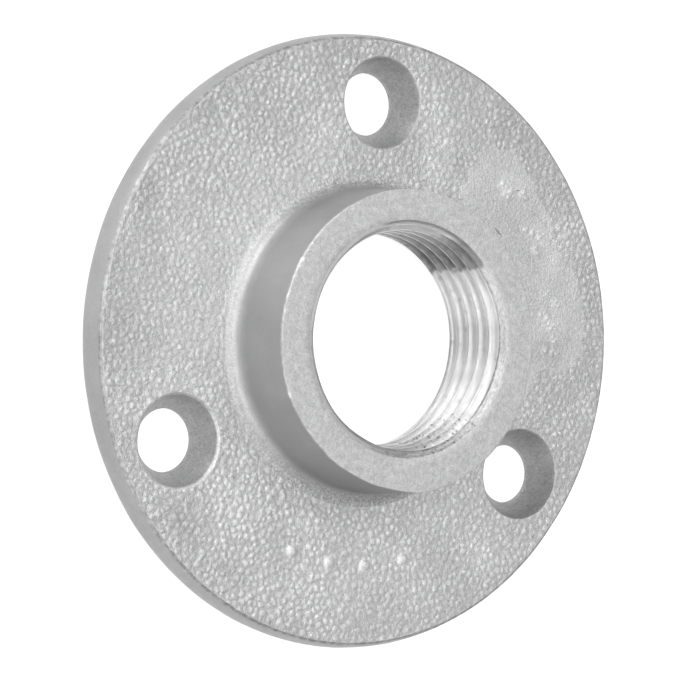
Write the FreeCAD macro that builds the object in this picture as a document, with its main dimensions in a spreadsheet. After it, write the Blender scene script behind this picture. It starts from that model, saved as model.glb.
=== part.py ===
import FreeCAD, Part
import math
import os

import Sketcher

# Threaded floor flange: one casting with a round plate, a threaded hub and three screw holes.
# Millimetres. The origin is the centre of the plate's back face and +Z runs out of the hub.

doc = FreeCAD.newDocument("floor_flange")

# Driving sizes
sheet = doc.addObject("Spreadsheet::Sheet", "Sizes")
sizes = (
    ("flange_diameter", 86.0, "across the widest part of the crowned rim"),
    ("plate_thickness", 5.0, "back face to the grained front face"),
    ("rim_crown_radius", 5.2, "profile radius of the barrel-shaped rim"),
    ("rim_edge_round", 0.3, "small round where the rim meets each face"),
    ("hub_height", 16.3, "back face to the hub's end face"),
    ("hub_face_diameter", 41.8, "hub at its end face"),
    ("hub_draft", 2.0, "degrees each side, widening towards the plate"),
    ("hub_foot_fillet", 2.0, "blend from the hub into the plate"),
    ("thread_minor_diameter", 30.3, "crests of the one inch pipe thread"),
    ("thread_pitch", 2.309, "11 turns to the inch"),
    ("thread_depth", 1.48, "crest to root"),
    ("thread_flank", 27.5, "degrees from square to the axis"),
    ("thread_root_flat", 0.4, "bottom of each root, along the axis"),
    ("thread_roots", 5, "rings at the thread's pitch that stand for its turns"),
    ("entry_chamfer", 1.1, "lead-in at the hub's mouth, 45 degrees"),
    ("relief_depth", 4.8, "conical relief behind the thread, along the axis"),
    ("relief_width", 4.1, "the same relief, measured across the back face"),
    ("screw_circle_diameter", 66.5, "circle through the three screw holes"),
    ("screw_count", 3, "equally spaced, the first towards +Y"),
    ("screw_hole_diameter", 8.9, "clear hole at the back face"),
    ("countersink_diameter", 12.8, "at the front face"),
    ("screw_hole_land", 0.8, "straight part left behind the countersink"),
)
for row, (alias, value, note) in enumerate(sizes, start=1):
    sheet.set(f"A{row}", alias.replace("_", " "))
    sheet.set(f"B{row}", str(value))
    sheet.setAlias(f"B{row}", alias)
    sheet.set(f"C{row}", note)
doc.recompute()


def size(alias):
    return float(sheet.get(alias))


def origin_plane(body, role):
    for feature in body.Origin.OriginFeatures:
        if feature.Role == role:
            return feature
    raise LookupError(role)


def new_sketch(body, name, support, offset=None):
    sketch = body.newObject("Sketcher::SketchObject", name)
    sketch.AttachmentSupport = [(support, "")]
    sketch.MapMode = "FlatFace"
    if offset is not None:
        sketch.setExpression(".AttachmentOffset.Base.z", offset)
    return sketch


def drive(sketch, constraint, name, expression):
    index = sketch.addConstraint(constraint)
    sketch.renameConstraint(index, name)
    sketch.setExpression(f"Constraints.{name}", expression)
    return index


def ring_edges(shape, radius, height):
    """Names of the full circles about the Z axis with this radius at this height."""
    names = []
    for index, edge in enumerate(shape.Edges, start=1):
        if not isinstance(edge.Curve, Part.Circle):
            continue
        centre = edge.Curve.Center
        on_axis = math.hypot(centre.x, centre.y) < 1e-6
        if on_axis and abs(edge.Curve.Radius - radius) < 1e-4 and abs(centre.z - height) < 1e-4:
            names.append(f"Edge{index}")
    if not names:
        raise ValueError(f"no ring of radius {radius:.3f} at height {height:.3f}")
    return names


def removed(before, feature, name):
    """Stop where a cut took nothing away."""
    taken = before - feature.Shape.Volume
    if taken < 1.0:
        raise ValueError(f"{name} cut nothing")
    print(f"{name} removed {taken:.1f} mm3")


body = doc.addObject("PartDesign::Body", "floor_flange")
body.Label = "floor_flange"
xz_plane = origin_plane(body, "XZ_Plane")
xy_plane = origin_plane(body, "XY_Plane")

# Plate with a crowned rim
rim_sketch = new_sketch(body, "plate_profile", xz_plane)
half_thickness = size("plate_thickness") / 2
crown_radius = size("rim_crown_radius")
crown_centre_x = size("flange_diameter") / 2 - crown_radius
face_radius = crown_centre_x + math.sqrt(crown_radius**2 - half_thickness**2)
crown_angle = math.asin(half_thickness / crown_radius)
origin = FreeCAD.Vector(0, 0, 0)
back_rim = FreeCAD.Vector(face_radius, 0, 0)
front_rim = FreeCAD.Vector(face_radius, 2 * half_thickness, 0)
front_axis = FreeCAD.Vector(0, 2 * half_thickness, 0)
crown_centre = FreeCAD.Vector(crown_centre_x, half_thickness, 0)
crown_circle = Part.Circle(crown_centre, FreeCAD.Vector(0, 0, 1), crown_radius)
back_line = rim_sketch.addGeometry(Part.LineSegment(origin, back_rim), False)
crown_arc = rim_sketch.addGeometry(Part.ArcOfCircle(crown_circle, -crown_angle, crown_angle), False)
front_line = rim_sketch.addGeometry(Part.LineSegment(front_rim, front_axis), False)
axis_line = rim_sketch.addGeometry(Part.LineSegment(front_axis, origin), False)
rim_sketch.addConstraint(Sketcher.Constraint("Coincident", back_line, 1, -1, 1))
rim_sketch.addConstraint(Sketcher.Constraint("Coincident", back_line, 2, crown_arc, 1))
rim_sketch.addConstraint(Sketcher.Constraint("Coincident", crown_arc, 2, front_line, 1))
rim_sketch.addConstraint(Sketcher.Constraint("Coincident", front_line, 2, axis_line, 1))
rim_sketch.addConstraint(Sketcher.Constraint("Coincident", axis_line, 2, back_line, 1))
rim_sketch.addConstraint(Sketcher.Constraint("Horizontal", back_line))
rim_sketch.addConstraint(Sketcher.Constraint("Horizontal", front_line))
rim_sketch.addConstraint(Sketcher.Constraint("Vertical", axis_line))
drive(
    rim_sketch,
    Sketcher.Constraint("DistanceY", -1, 1, front_line, 2, 2 * half_thickness),
    "thickness",
    "Sizes.plate_thickness",
)
drive(
    rim_sketch,
    Sketcher.Constraint("Radius", crown_arc, crown_radius),
    "crown_radius",
    "Sizes.rim_crown_radius",
)
drive(
    rim_sketch,
    Sketcher.Constraint("DistanceX", -1, 1, crown_arc, 3, crown_centre_x),
    "crown_centre_out",
    "Sizes.flange_diameter / 2 - Sizes.rim_crown_radius",
)
drive(
    rim_sketch,
    Sketcher.Constraint("DistanceY", -1, 1, crown_arc, 3, half_thickness),
    "crown_centre_up",
    "Sizes.plate_thickness / 2",
)
plate = body.newObject("PartDesign::Revolution", "plate")
plate.Profile = rim_sketch
plate.ReferenceAxis = (rim_sketch, ["V_Axis"])
plate.Angle = 360.0
doc.recompute()

# Hub, drafted from the plate to its end face
hub_sketch = new_sketch(body, "hub_foot", xy_plane, "Sizes.plate_thickness")
draft_run = (size("hub_height") - size("plate_thickness")) * math.tan(math.radians(size("hub_draft")))
foot_radius = size("hub_face_diameter") / 2 + draft_run
foot_circle = Part.Circle(FreeCAD.Vector(0, 0, 0), FreeCAD.Vector(0, 0, 1), foot_radius)
foot_ring = hub_sketch.addGeometry(foot_circle, False)
hub_sketch.addConstraint(Sketcher.Constraint("Coincident", foot_ring, 3, -1, 1))
drive(
    hub_sketch,
    Sketcher.Constraint("Radius", foot_ring, foot_radius),
    "foot_radius",
    "Sizes.hub_face_diameter / 2"
    " + (Sizes.hub_height - Sizes.plate_thickness) * tan(Sizes.hub_draft * 1 deg)",
)
hub = body.newObject("PartDesign::Pad", "hub")
hub.Profile = hub_sketch
hub.setExpression("Length", "Sizes.hub_height - Sizes.plate_thickness")
hub.setExpression("TaperAngle", "-Sizes.hub_draft * 1 deg")
doc.recompute()

# Cast blend at the hub's foot
foot_fillet = body.newObject("PartDesign::Fillet", "hub_foot_blend")
foot_fillet.Base = (hub, ring_edges(hub.Shape, foot_radius, size("plate_thickness")))
foot_fillet.setExpression("Radius", "Sizes.hub_foot_fillet")
doc.recompute()

# Small rounds along the rim, front and back
rim_edges = ring_edges(foot_fillet.Shape, face_radius, 0)
rim_edges += ring_edges(foot_fillet.Shape, face_radius, size("plate_thickness"))
rim_rounds = body.newObject("PartDesign::Fillet", "rim_rounds")
rim_rounds.Base = (foot_fillet, rim_edges)
rim_rounds.setExpression("Radius", "Sizes.rim_edge_round")
doc.recompute()

# Thread bore through the hub, at the diameter of the thread's crests, with its lead-in
volume_before = rim_rounds.Shape.Volume
bore_sketch = new_sketch(body, "bore_mouth", xy_plane, "Sizes.hub_height")
bore_circle = Part.Circle(FreeCAD.Vector(0, 0, 0), FreeCAD.Vector(0, 0, 1), size("thread_minor_diameter") / 2)
bore_ring = bore_sketch.addGeometry(bore_circle, False)
bore_sketch.addConstraint(Sketcher.Constraint("Coincident", bore_ring, 3, -1, 1))
drive(
    bore_sketch,
    Sketcher.Constraint("Diameter", bore_ring, size("thread_minor_diameter")),
    "minor_diameter",
    "Sizes.thread_minor_diameter",
)
doc.recompute()
thread_bore = body.newObject("PartDesign::Hole", "thread_bore")
thread_bore.Profile = bore_sketch
thread_bore.DepthType = "ThroughAll"
thread_bore.setExpression("Diameter", "Sizes.thread_minor_diameter")
thread_bore.HoleCutType = "Countersink"
thread_bore.HoleCutCustomValues = True
thread_bore.HoleCutCountersinkAngle = 90.0
thread_bore.setExpression("HoleCutDiameter", "Sizes.thread_minor_diameter + 2 * Sizes.entry_chamfer")
doc.recompute()
removed(volume_before, thread_bore, "thread bore")

# Conical relief where the thread runs out at the back
volume_before = thread_bore.Shape.Volume
relief = body.newObject("PartDesign::Chamfer", "back_relief")
relief.Base = (thread_bore, ring_edges(thread_bore.Shape, size("thread_minor_diameter") / 2, 0))
relief.ChamferType = "Two distances"
relief.setExpression("Size", "Sizes.relief_width")
relief.setExpression("Size2", "Sizes.relief_depth")
doc.recompute()
removed(volume_before, relief, "back relief")

# One root of the thread: a trapezoid that starts a little inside the bore, the lowest running into the relief
volume_before = relief.Shape.Volume
overlap = 0.15
flank = math.tan(math.radians(size("thread_flank")))
root_height = 2 * size("thread_pitch")
crest_radius = size("thread_minor_diameter") / 2
inner_x = crest_radius - overlap
outer_x = crest_radius + size("thread_depth")
outer_half = size("thread_root_flat") / 2
inner_half = outer_half + (size("thread_depth") + overlap) * flank
root_corners = [
    FreeCAD.Vector(inner_x, root_height - inner_half, 0),
    FreeCAD.Vector(outer_x, root_height - outer_half, 0),
    FreeCAD.Vector(outer_x, root_height + outer_half, 0),
    FreeCAD.Vector(inner_x, root_height + inner_half, 0),
]
root_sketch = new_sketch(body, "thread_root_profile", xz_plane)
lower_flank, root_flat, upper_flank, inner_line = [
    root_sketch.addGeometry(Part.LineSegment(start, end), False)
    for start, end in zip(root_corners, root_corners[1:] + root_corners[:1])
]
root_sketch.addConstraint(Sketcher.Constraint("Coincident", lower_flank, 2, root_flat, 1))
root_sketch.addConstraint(Sketcher.Constraint("Coincident", root_flat, 2, upper_flank, 1))
root_sketch.addConstraint(Sketcher.Constraint("Coincident", upper_flank, 2, inner_line, 1))
root_sketch.addConstraint(Sketcher.Constraint("Coincident", inner_line, 2, lower_flank, 1))
root_sketch.addConstraint(Sketcher.Constraint("Vertical", root_flat))
root_sketch.addConstraint(Sketcher.Constraint("Vertical", inner_line))
drive(
    root_sketch,
    Sketcher.Constraint("DistanceX", -1, 1, lower_flank, 2, outer_x),
    "root_radius",
    "Sizes.thread_minor_diameter / 2 + Sizes.thread_depth",
)
drive(
    root_sketch,
    Sketcher.Constraint("DistanceX", -1, 1, lower_flank, 1, inner_x),
    "inner_radius",
    f"Sizes.thread_minor_diameter / 2 - {overlap}",
)
drive(
    root_sketch,
    Sketcher.Constraint("DistanceY", -1, 1, lower_flank, 2, root_height - outer_half),
    "root_low_edge",
    "2 * Sizes.thread_pitch - Sizes.thread_root_flat / 2",
)
drive(
    root_sketch,
    Sketcher.Constraint("DistanceY", lower_flank, 2, root_flat, 2, 2 * outer_half),
    "root_flat_width",
    "Sizes.thread_root_flat",
)
drive(
    root_sketch,
    Sketcher.Constraint("DistanceY", lower_flank, 1, lower_flank, 2, inner_half - outer_half),
    "lower_flank_rise",
    f"(Sizes.thread_depth + {overlap}) * tan(Sizes.thread_flank * 1 deg)",
)
drive(
    root_sketch,
    Sketcher.Constraint("DistanceY", root_flat, 2, inner_line, 1, inner_half - outer_half),
    "upper_flank_rise",
    f"(Sizes.thread_depth + {overlap}) * tan(Sizes.thread_flank * 1 deg)",
)
doc.recompute()
thread_root = body.newObject("PartDesign::Groove", "thread_root")
thread_root.Profile = root_sketch
thread_root.ReferenceAxis = (root_sketch, ["V_Axis"])
thread_root.Angle = 360.0
doc.recompute()
removed(volume_before, thread_root, "thread root")

# The other roots, one pitch apart
volume_before = thread_root.Shape.Volume
thread_roots = body.newObject("PartDesign::LinearPattern", "thread_roots")
thread_roots.Originals = [thread_root]
thread_roots.Direction = (root_sketch, ["V_Axis"])
thread_roots.setExpression("Length", "(Sizes.thread_roots - 1) * Sizes.thread_pitch")
thread_roots.setExpression("Occurrences", "Sizes.thread_roots")
body.Tip = thread_roots
doc.recompute()
removed(volume_before, thread_roots, "thread root pattern")

# Countersunk screw hole, then the pattern round the hub
volume_before = thread_roots.Shape.Volume
screw_sketch = new_sketch(body, "screw_hole_centre", xy_plane, "Sizes.plate_thickness")
screw_centre = FreeCAD.Vector(0, size("screw_circle_diameter") / 2, 0)
screw_circle = Part.Circle(screw_centre, FreeCAD.Vector(0, 0, 1), size("screw_hole_diameter") / 2)
screw_ring = screw_sketch.addGeometry(screw_circle, False)
screw_sketch.addConstraint(Sketcher.Constraint("PointOnObject", screw_ring, 3, -2))
drive(
    screw_sketch,
    Sketcher.Constraint("DistanceY", -1, 1, screw_ring, 3, size("screw_circle_diameter") / 2),
    "circle_radius",
    "Sizes.screw_circle_diameter / 2",
)
drive(
    screw_sketch,
    Sketcher.Constraint("Diameter", screw_ring, size("screw_hole_diameter")),
    "hole_diameter",
    "Sizes.screw_hole_diameter",
)
doc.recompute()
screw_hole = body.newObject("PartDesign::Hole", "screw_hole")
screw_hole.Profile = screw_sketch
screw_hole.DepthType = "ThroughAll"
screw_hole.setExpression("Diameter", "Sizes.screw_hole_diameter")
screw_hole.HoleCutType = "Countersink"
screw_hole.HoleCutCustomValues = True
screw_hole.setExpression("HoleCutDiameter", "Sizes.countersink_diameter")
screw_hole.setExpression(
    "HoleCutCountersinkAngle",
    "2 * atan((Sizes.countersink_diameter - Sizes.screw_hole_diameter) / 2"
    " / (Sizes.plate_thickness - Sizes.screw_hole_land))",
)
doc.recompute()
removed(volume_before, screw_hole, "screw hole")

screw_holes = body.newObject("PartDesign::PolarPattern", "screw_holes")
screw_holes.Originals = [screw_hole]
screw_holes.Axis = (screw_sketch, ["N_Axis"])
screw_holes.Angle = 360.0
screw_holes.setExpression("Occurrences", "Sizes.screw_count")
body.Tip = screw_holes
doc.recompute()
removed(screw_hole.Shape.Volume, screw_holes, "screw hole pattern")

# Health of the document and of the finished casting
for feature in doc.Objects:
    if "Invalid" in feature.State or "Error" in feature.State:
        raise RuntimeError(f"{feature.Name} failed: {feature.State}")
casting = body.Shape
if casting.isNull() or not casting.isValid() or len(casting.Solids) != 1:
    raise RuntimeError("the casting is not one valid solid")

os.makedirs("parts", exist_ok=True)
casting.exportStep(os.path.join("parts", body.Label + ".step"))
print(f"volume {casting.Volume:.1f} mm3, box {casting.BoundBox}")
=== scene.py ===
import math

import bpy
import numpy as np
from mathutils import Matrix, Vector, geometry, kdtree


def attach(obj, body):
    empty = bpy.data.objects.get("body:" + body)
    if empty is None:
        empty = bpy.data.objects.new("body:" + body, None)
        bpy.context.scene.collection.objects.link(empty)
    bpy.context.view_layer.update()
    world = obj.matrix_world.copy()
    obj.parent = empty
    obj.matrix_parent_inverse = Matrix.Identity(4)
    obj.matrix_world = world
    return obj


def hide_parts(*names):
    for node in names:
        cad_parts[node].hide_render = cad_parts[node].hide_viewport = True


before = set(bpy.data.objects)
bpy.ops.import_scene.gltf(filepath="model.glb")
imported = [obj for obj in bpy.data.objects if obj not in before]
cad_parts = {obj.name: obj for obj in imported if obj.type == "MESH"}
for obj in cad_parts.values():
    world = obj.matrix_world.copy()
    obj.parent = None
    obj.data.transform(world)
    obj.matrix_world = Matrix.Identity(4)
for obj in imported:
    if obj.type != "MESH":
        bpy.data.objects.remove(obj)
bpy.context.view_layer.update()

MM = 0.001
rng = np.random.default_rng(20)

# Sizes of the casting in millimetres, as the solid has them
RIM_RADIUS = 43.0
CROWN_RADIUS = 5.2
PLATE = 5.0
HUB_TOP = 16.3
HUB_RADIUS = 20.9
HUB_DRAFT = math.radians(2.0)
FOOT_FILLET = 2.0
MOUTH_RADIUS = 16.25
MOUTH_LIP = 0.16
CREST_RADIUS = 15.15
THREAD_PITCH = 2.309
THREAD_DEPTH = 0.6403 * THREAD_PITCH
RELIEF_DEPTH = 4.8
RELIEF_WIDTH = 4.1
SCREW_CIRCLE = 33.25
SCREW_RADIUS = 4.45
SINK_RADIUS = 6.4
LAND = 0.8

# The bore was cut a little off the hub's middle
BORE_SHIFT = (-0.05, 0.27)

# Mesh fineness
RIM_STEPS = 600
HUB_STEPS = 360
SINK_STEPS = 108
SMOOTH_SPACING = 0.75
BACK_SPACING = 1.4
LATTICE_REACH = 42
POINT_GAP = 0.12
MERGE_DISTANCE = 1e-7


def smoothstep(low, high, x):
    t = np.clip((x - low) / (high - low), 0.0, 1.0)
    return t * t * (3 - 2 * t)


def hash01(ix, iy, iz, seed):
    """A repeatable random number in 0..1 for each lattice cell."""
    n = ix.astype(np.int64) * 374761393
    n = n + iy.astype(np.int64) * 668265263
    n = n + iz.astype(np.int64) * 2147483647
    n = (n + seed * 1274126177) & 0xFFFFFFFF
    n = ((n ^ (n >> 13)) * 1274126177) & 0xFFFFFFFF
    n = n ^ (n >> 16)
    return (n & 0xFFFFFF) / float(0xFFFFFF)


def value_noise(points, scale, seed):
    """Smooth noise in -1..1 at points (n, 3), with features about scale millimetres across."""
    p = np.asarray(points, float) / scale + 1000.0
    cell = np.floor(p).astype(np.int64)
    t = p - cell
    t = t * t * (3 - 2 * t)
    total = np.zeros(len(p))
    for dx in (0, 1):
        for dy in (0, 1):
            for dz in (0, 1):
                weight = (
                    (t[:, 0] if dx else 1 - t[:, 0])
                    * (t[:, 1] if dy else 1 - t[:, 1])
                    * (t[:, 2] if dz else 1 - t[:, 2])
                )
                total += weight * hash01(cell[:, 0] + dx, cell[:, 1] + dy, cell[:, 2] + dz, seed)
    return total * 2 - 1


def flat_noise(x, y, scale, seed):
    return value_noise(np.column_stack([x, y, np.zeros(len(x))]), scale, seed)


# Screw holes: each countersink and its through hole lie a little off their nominal places
class ScrewHole:
    def __init__(self, degrees, sink_shift, hole_shift, hole_radius, rounding):
        x = SCREW_CIRCLE * math.cos(math.radians(degrees))
        y = SCREW_CIRCLE * math.sin(math.radians(degrees))
        self.sink = (x + sink_shift[0], y + sink_shift[1])
        self.hole = (x + hole_shift[0], y + hole_shift[1])
        self.radius = hole_radius
        self.rounding = rounding


SCREW_HOLES = [
    ScrewHole(90, (-0.03, 0.27), (0.0, 0.25), 4.4, 0.15),
    ScrewHole(210, (0.0, 0.3), (0.25, 0.3), 4.38, 0.28),
    ScrewHole(330, (0.02, 0.15), (0.4, 0.07), 4.15, 0.12),
]

# Cast grain on the plate's face: the valleys' height, and the grains' pitch and height
FACE = 4.9
GRAIN_PITCH = 1.06
GRAIN_HEIGHT = 0.115
GRAIN_JITTER = 0.75
GRAIN_GAPS = 0.05
GRAIN_FIELD = 45
GRAIN_RADII = (21, 44.5)
GRAIN_EDGE = 0.02
SHORT_VALLEY = 0.25
SLOPE_SHARE = 0.6
SMOOTH_PATCH = [
    (15.0, 22.5), (15.3, 24.8), (18.2, 29.3), (22.6, 30.3), (25.2, 27.3), (29.6, 22.7),
    (33.0, 16.0), (36.5, 12.0), (38.1, 6.1), (38.6, 1.2), (34.7, -1.3), (30.5, -1.4),
    (28.4, -5.5), (25.2, -10.9), (20.0, -8.0), (18.0, 0.0), (16.0, 12.0),
]
# Grains that stand alone in the smooth patch: place and radius
GRAIN_ISLANDS = [
    (22.2, 24.6, 1.1), (22.9, 23.5, 1.2), (25.4, 23.4, 0.8), (23.4, 25.6, 0.6),
    (26.4, 18.7, 0.6), (27.9, 18.4, 0.8), (29.2, 17.9, 0.8), (28.4, 16.3, 0.7),
    (29.4, 16.9, 0.6), (28.7, 15.5, 0.6), (31.2, 9.8, 0.7), (33.2, 8.3, 0.9),
    (31.0, 6.5, 0.8), (32.0, 5.3, 0.8), (33.0, 3.2, 0.6), (31.8, 1.6, 0.7), (33.0, 1.4, 0.6),
]
PIPS = [(-8.9, -30.0), (-2.6, -31.2), (3.3, -31.2), (9.7, -30.0)]
PIP_RADIUS = 0.85
PIP_HEIGHT = 0.35
# The mesh's rings round each pip: share of its radius, and points
PIP_RINGS = ((0.0, 1), (0.35, 6), (0.65, 10), (0.85, 14), (0.96, 18), (1.06, 18), (1.3, 14))


def segment_distance(x, y, start, end):
    ex, ey = end[0] - start[0], end[1] - start[1]
    t = np.clip(((x - start[0]) * ex + (y - start[1]) * ey) / (ex * ex + ey * ey), 0, 1)
    return np.hypot(x - start[0] - t * ex, y - start[1] - t * ey)


def polygon_distance(x, y, corners):
    """Signed distance to a polygon, negative inside."""
    best = np.full(len(x), 1e9)
    inside = np.zeros(len(x), bool)
    for (ax, ay), (bx, by) in zip(corners, corners[1:] + corners[:1]):
        best = np.minimum(best, segment_distance(x, y, (ax, ay), (bx, by)))
        crosses = (ay > y) != (by > y)
        rise = by - ay if by != ay else 1e-12
        inside ^= crosses & (x < ax + (y - ay) * (bx - ax) / rise)
    return np.where(inside, -best, best)


def pip_distance(x, y):
    """Distance from the middle of the nearest raised pip."""
    best = np.full(len(x), 1e9)
    for cx, cy in PIPS:
        best = np.minimum(best, np.hypot(x - cx, y - cy))
    return best


def ring(radius, z, steps, centre=(0.0, 0.0)):
    """A ring of points; radius and z are numbers or one value for each point."""
    angle = np.arange(steps) * 2 * math.pi / steps
    radius = np.broadcast_to(radius, steps)
    z = np.broadcast_to(z, steps)
    return np.column_stack([centre[0] + radius * np.cos(angle), centre[1] + radius * np.sin(angle), z])


def island_mask(x, y):
    """1 on the groups of grains that stand alone in the smooth patch."""
    mask = np.zeros(len(x))
    for ix, iy, size in GRAIN_ISLANDS:
        reach = size + 0.25 * flat_noise(x, y, 0.9, 11)
        mask = np.maximum(mask, smoothstep(reach + 0.1, reach - 0.4, np.hypot(x - ix, y - iy)))
    return mask


def grain_mask(x, y):
    """1 where the face keeps its cast grain, 0 where it is smooth."""
    radius = np.hypot(x, y)
    mask = smoothstep(21.9, 23.0, radius + 0.4 * flat_noise(x, y, 1.6, 3))
    patch = polygon_distance(x, y, SMOOTH_PATCH) + 0.7 * flat_noise(x, y, 1.3, 5)
    mask *= smoothstep(-0.4, 0.4, patch)
    mask = np.maximum(mask, island_mask(x, y))
    return mask * smoothstep(PIP_RADIUS, PIP_RADIUS + 0.5, pip_distance(x, y))


def make_grain_seeds():
    """Middles of the grains: a hexagonal lattice, jittered, with gaps."""
    seeds = []
    row_step = GRAIN_PITCH * math.sqrt(3) / 2
    for row in range(int(2 * GRAIN_FIELD / row_step)):
        for col in range(int(2 * GRAIN_FIELD / GRAIN_PITCH)):
            jump_x, jump_y, keep = rng.random(3)
            x = -GRAIN_FIELD + (col + 0.5 * (row % 2)) * GRAIN_PITCH
            x += (jump_x - 0.5) * GRAIN_JITTER * GRAIN_PITCH
            y = -GRAIN_FIELD + row * row_step
            y += (jump_y - 0.5) * GRAIN_JITTER * GRAIN_PITCH
            if keep > GRAIN_GAPS and GRAIN_RADII[0] < math.hypot(x, y) < GRAIN_RADII[1]:
                seeds.append((x, y))
    return np.array(seeds)


grain_seeds = make_grain_seeds()
grain_tree = kdtree.KDTree(len(grain_seeds))
for index, (seed_x, seed_y) in enumerate(grain_seeds):
    grain_tree.insert((seed_x, seed_y, 0.0), index)
grain_tree.balance()
grain_level = 0.5 + 0.6 * rng.random(len(grain_seeds))


def grain_bump(x, y):
    """Height of the cast grain above its valleys, 0 in them and up to about 1.1 on the grains."""
    out = np.zeros(len(x))
    for i in range(len(x)):
        near = grain_tree.find_n((x[i], y[i], 0.0), 2)
        ratio = near[0][2] / max(near[1][2], 1e-6)
        out[i] = (1 - ratio**2.4) * grain_level[near[0][1]]
    return out


def face_height(x, y):
    """The face with its waves, fine roughness, grain and pips."""
    radius = np.hypot(x, y)
    mask = grain_mask(x, y)
    bump = np.zeros(len(x))
    busy = mask > 0.001
    bump[busy] = grain_bump(x[busy], y[busy])
    island = island_mask(x, y)
    swell = 0.85 + 0.25 * flat_noise(x, y, 5.0, 31) + 0.5 * island
    swell += 0.3 * np.exp(-np.hypot(x + 16, y + 20) ** 2 / 90)
    clear_of_edges = smoothstep(42.1, 41.0, radius) * smoothstep(23.3, 24.5, radius)
    level = 0.03 * flat_noise(x, y, 6.0, 41) + 0.03 * flat_noise(x, y, 1.9, 42) * (1 - mask)
    fine = 0.012 * flat_noise(x, y, 0.4, 43)
    raised = 0.04 * (1 - mask + island)
    pips = PIP_HEIGHT * np.sqrt(np.clip(1 - (pip_distance(x, y) / PIP_RADIUS) ** 2, 0, 1))
    grain = mask * bump * GRAIN_HEIGHT * swell
    return FACE + (level + fine + raised) * clear_of_edges + grain + pips


def jittered_lattice(spacing, share):
    """A hexagonal lattice over the plate, each point moved at random within a share of the spacing."""
    rows = []
    row_step = spacing * math.sqrt(3) / 2
    steps = np.arange(int(2 * LATTICE_REACH / spacing) + 2)
    for row in range(int(2 * LATTICE_REACH / row_step) + 2):
        x = -LATTICE_REACH + spacing * (0.5 * (row % 2) + steps)
        rows.append(np.column_stack([x, np.full(len(x), -LATTICE_REACH + row * row_step)]))
    lattice = np.vstack(rows)
    return lattice + (rng.random(lattice.shape) - 0.5) * share * spacing


def thin_out(points, gap):
    """Leaves out each point that lies closer than gap to one kept before it."""
    kept = []
    cells = {}
    for x, y in points.tolist():
        cx, cy = int(x // gap), int(y // gap)
        close = False
        for i in (cx - 1, cx, cx + 1):
            for j in (cy - 1, cy, cy + 1):
                for px, py in cells.get((i, j), ()):
                    if (px - x) ** 2 + (py - y) ** 2 < gap * gap:
                        close = True
        if not close:
            cells.setdefault((cx, cy), []).append((x, y))
            kept.append((x, y))
    return np.array(kept)


def face_points():
    """Places for the mesh's points on the face: on each grain, on its slopes and along its valleys."""
    corners = [Vector(p) for p in grain_seeds.tolist()]
    triangles = np.array(geometry.delaunay_2d_cdt(corners, [], [], 0, MERGE_DISTANCE)[2])
    a, b, c = (grain_seeds[triangles[:, k]] for k in range(3))
    double = 2 * (a[:, 0] * (b - c)[:, 1] + b[:, 0] * (c - a)[:, 1] + c[:, 0] * (a - b)[:, 1])
    square = [(p**2).sum(1) for p in (a, b, c)]
    meet = np.column_stack([
        (square[0] * (b - c)[:, 1] + square[1] * (c - a)[:, 1] + square[2] * (a - b)[:, 1]) / double,
        (square[0] * (c - b)[:, 0] + square[1] * (a - c)[:, 0] + square[2] * (b - a)[:, 0]) / double,
    ])
    sides = {}
    for number, tri in enumerate(triangles.tolist()):
        for k in range(3):
            sides.setdefault(tuple(sorted((tri[k], tri[(k + 1) % 3]))), []).append(number)
    shared = [(i, j, pair[0], pair[1]) for (i, j), pair in sides.items() if len(pair) == 2]
    left, right, first, second = np.array(shared).T
    keep = np.hypot(*(meet[first] - meet[second]).T) > SHORT_VALLEY
    middle = ((meet[first] + meet[second]) / 2)[keep]
    on_slopes = [
        grain_seeds[triangles[:, k]] * (1 - SLOPE_SHARE) + meet * SLOPE_SHARE for k in range(3)]
    on_slopes += [
        grain_seeds[side[keep]] * (1 - SLOPE_SHARE) + middle * SLOPE_SHARE for side in (left, right)]
    grain = np.vstack([grain_seeds, meet, middle] + on_slopes)
    grain = grain[grain_mask(grain[:, 0], grain[:, 1]) > GRAIN_EDGE]
    smooth = jittered_lattice(SMOOTH_SPACING, 0.5)
    smooth = smooth[grain_mask(smooth[:, 0], smooth[:, 1]) <= GRAIN_EDGE]
    pips = []
    for centre in PIPS:
        for share, steps in PIP_RINGS:
            pips.append(ring(share * PIP_RADIUS, 0.0, steps, centre)[:, :2])
    away = pip_distance(smooth[:, 0], smooth[:, 1]) > 1.5 * PIP_RADIUS
    return thin_out(np.vstack(pips + [grain, smooth[away]]), POINT_GAP)


# The mesh is collected ring by ring, then made in one go
class Builder:
    def __init__(self):
        self.blocks = []
        self.count = 0
        self.faces = []
        self.zones = []
        self.creases = []

    def points(self, coords):
        coords = np.asarray(coords, float)
        ids = np.arange(self.count, self.count + len(coords))
        self.blocks.append(coords)
        self.count += len(coords)
        return ids

    def face(self, zone, *corners):
        self.faces.append([int(c) for c in corners])
        self.zones.append(zone)

    def bands(self, rings, zone):
        """Quads between rings of the same number of points."""
        for first, second in zip(rings, rings[1:]):
            quads = np.column_stack([first, np.roll(first, -1), np.roll(second, -1), second])
            self.faces.extend(quads.tolist())
            self.zones.extend([zone] * len(quads))

    def crease(self, loop):
        self.creases.append(np.column_stack([loop, np.roll(loop, -1)]))


CAST, SMOOTH, RIM, HUB, TURNED, THREAD, SINK, BACK = range(8)
build = Builder()


def roughened(points, amount, scale, seed):
    """Moves points in or out a little, as a cast surface wanders."""
    push = value_noise(points, scale, seed) + 0.4 * value_noise(points, scale * 0.3, seed + 1)
    factor = 1 + amount * push / np.hypot(points[:, 0], points[:, 1])
    moved = points.copy()
    moved[:, 0] *= factor
    moved[:, 1] *= factor
    return moved


def curve(t, start, corner, end):
    """The place at t, 0 to 1, on the curve from start to end that bends towards corner."""
    return (1 - t) ** 2 * start + 2 * t * (1 - t) * corner + t * t * end


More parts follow.
